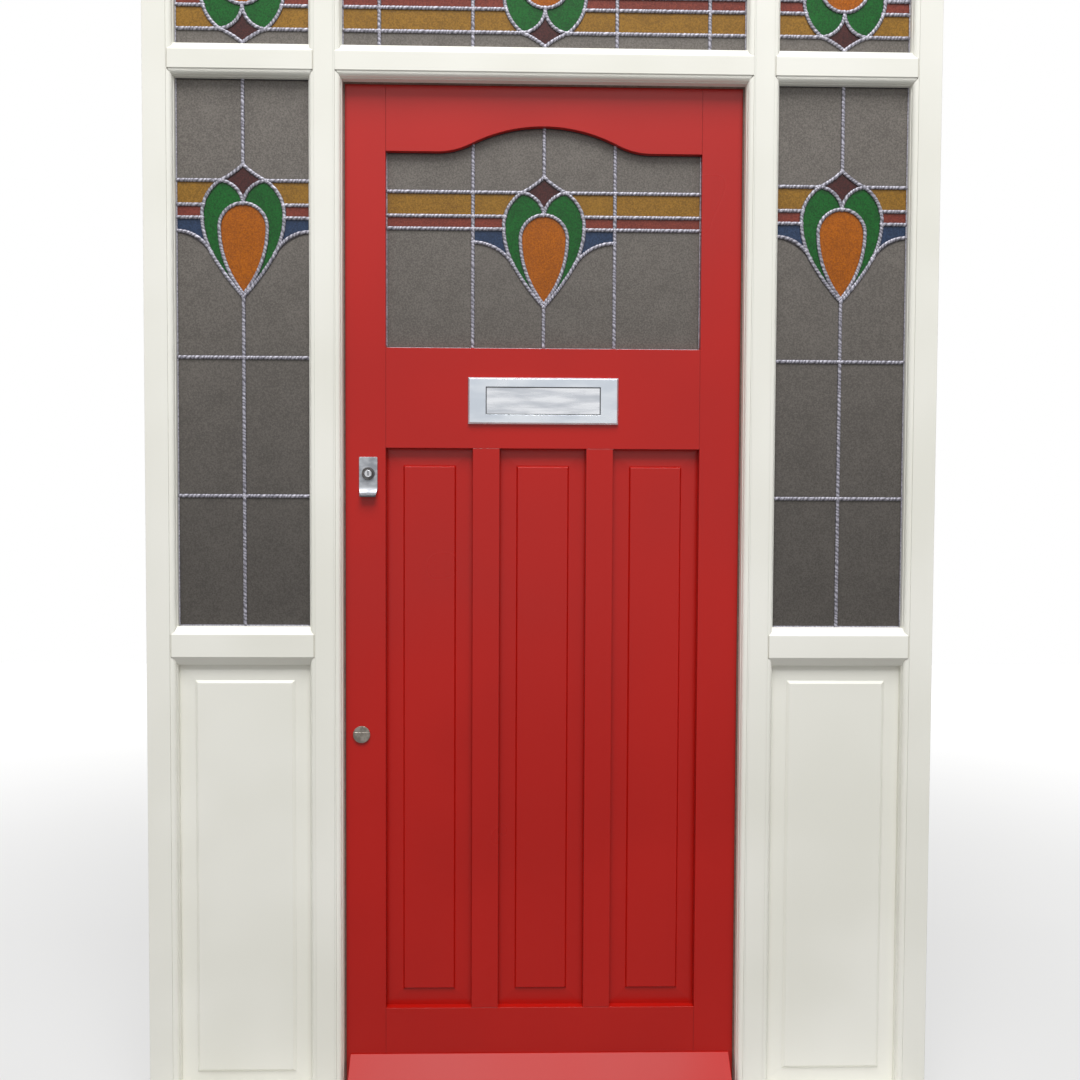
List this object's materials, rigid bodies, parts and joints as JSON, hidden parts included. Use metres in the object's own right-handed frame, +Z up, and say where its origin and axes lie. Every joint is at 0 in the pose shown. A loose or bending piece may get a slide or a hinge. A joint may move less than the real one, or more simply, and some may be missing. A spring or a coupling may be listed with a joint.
{
  "type": "panelled front door",
  "caption": "Panelled front door with an arched leaded light, in a frame with leaded sidelights and top lights over panels.",
  "frame": {"origin": "underside of the sill, midway across the frame, in line with the frame's front face", "axes": "+X to the right seen from outside, +Y into the house, +Z up"},
  "size_m": [1.55, 0.185, 2.531],
  "materials": {
    "white_paint": "satin",
    "red_paint": "gloss",
    "lead": "dull",
    "seal": "matt",
    "satin_metal": "satin",
    "bright_metal": "polished",
    "latch_paint": "satin",
    "clear_glass": "textured",
    "amber_glass": "textured",
    "rose_glass": "textured",
    "blue_glass": "textured",
    "green_glass": "textured",
    "orange_glass": "textured",
    "plum_glass": "textured"
  },
  "bodies": {
    "frame": {"sill": "white_paint", "head": "white_paint", "left_jamb": "white_paint", "right_jamb": "white_paint", "left_mullion": "white_paint", "right_mullion": "white_paint", "left_transom": "white_paint", "right_transom": "white_paint", "left_midrail": "white_paint", "right_midrail": "white_paint", "centre_transom": "white_paint", "side_bottom_rails": "white_paint", "door_stops": "white_paint", "side_panels": "white_paint", "fixed_light_beads": "white_paint", "fixed_light_lead": "lead", "door_seal": "seal", "hinge_frame_leaves": "satin_metal", "latch_keep": "latch_paint", "deadbolt_keep": "satin_metal", "fixed_clear_glass": "clear_glass", "fixed_amber_glass": "amber_glass", "fixed_rose_glass": "rose_glass", "fixed_blue_glass": "blue_glass", "fixed_green_glass": "green_glass", "fixed_orange_glass": "orange_glass", "fixed_plum_glass": "plum_glass"},
    "leaf": {"door_lock_stile": "red_paint", "door_hinge_stile": "red_paint", "door_top_rail": "red_paint", "door_lock_rail": "red_paint", "door_bottom_rail": "red_paint", "door_muntins": "red_paint", "door_left_panel": "red_paint", "door_centre_panel": "red_paint", "door_right_panel": "red_paint", "weatherboard": "red_paint", "door_glazing_beads": "red_paint", "door_lead": "lead", "hinge_door_leaves": "satin_metal", "hinge_pins": "satin_metal", "letter_plate": "satin_metal", "cylinder_pull": "bright_metal", "rim_cylinder": "satin_metal", "latch_case": "latch_paint", "deadlock_case": "satin_metal", "key_roses": "satin_metal", "door_clear_glass": "clear_glass", "door_amber_glass": "amber_glass", "door_rose_glass": "rose_glass", "door_blue_glass": "blue_glass", "door_green_glass": "green_glass", "door_orange_glass": "orange_glass", "door_plum_glass": "plum_glass"},
    "letter_flap": {"letter_flap": "satin_metal"},
    "cylinder_plug": {"cylinder_plug": "satin_metal"},
    "latch_bolt": {"latch_bolt": "satin_metal"},
    "latch_knob": {"latch_knob": "bright_metal"},
    "deadbolt": {"deadbolt": "satin_metal"},
    "keyhole_cover": {"keyhole_cover": "satin_metal"}
  },
  "joints": [
    {"name": "door_swing", "type": "hinge", "parent": "frame", "child": "leaf", "pos_m": [0.408, 0.0825, 1.066], "axis": [0, 0, -1], "range_deg": [0, 110]},
    {"name": "flap_swing", "type": "hinge", "parent": "leaf", "child": "letter_flap", "pos_m": [0, 0.0303, 1.4779], "axis": [1, 0, 0], "range_deg": [0, 80], "stiffness_Nm_per_rad": 0.05, "springref_deg": -17.19},
    {"name": "plug_turn", "type": "hinge", "parent": "leaf", "child": "cylinder_plug", "pos_m": [-0.3465, 0.027, 1.3055], "axis": [0, 1, 0], "range_deg": [0, 90]},
    {"name": "knob_turn", "type": "hinge", "parent": "leaf", "child": "latch_knob", "pos_m": [-0.3605, 0.103, 1.3055], "axis": [0, 1, 0], "range_deg": [0, 51.9]},
    {"name": "latch_slide", "type": "slide", "parent": "leaf", "child": "latch_bolt", "axis": [-1, 0, 0], "range_m": [0, 0.014]},
    {"name": "deadbolt_slide", "type": "slide", "parent": "leaf", "child": "deadbolt", "axis": [-1, 0, 0], "range_m": [0, 0.02]},
    {"name": "cover_swing", "type": "hinge", "parent": "leaf", "child": "keyhole_cover", "pos_m": [-0.3605, 0.0297, 0.797], "axis": [0, 1, 0], "range_deg": [-90, 90]}
  ],
  "couplings": [
    {"joint": "knob_turn", "follows": "latch_slide", "rad_per_m": 64.688}
  ]
}
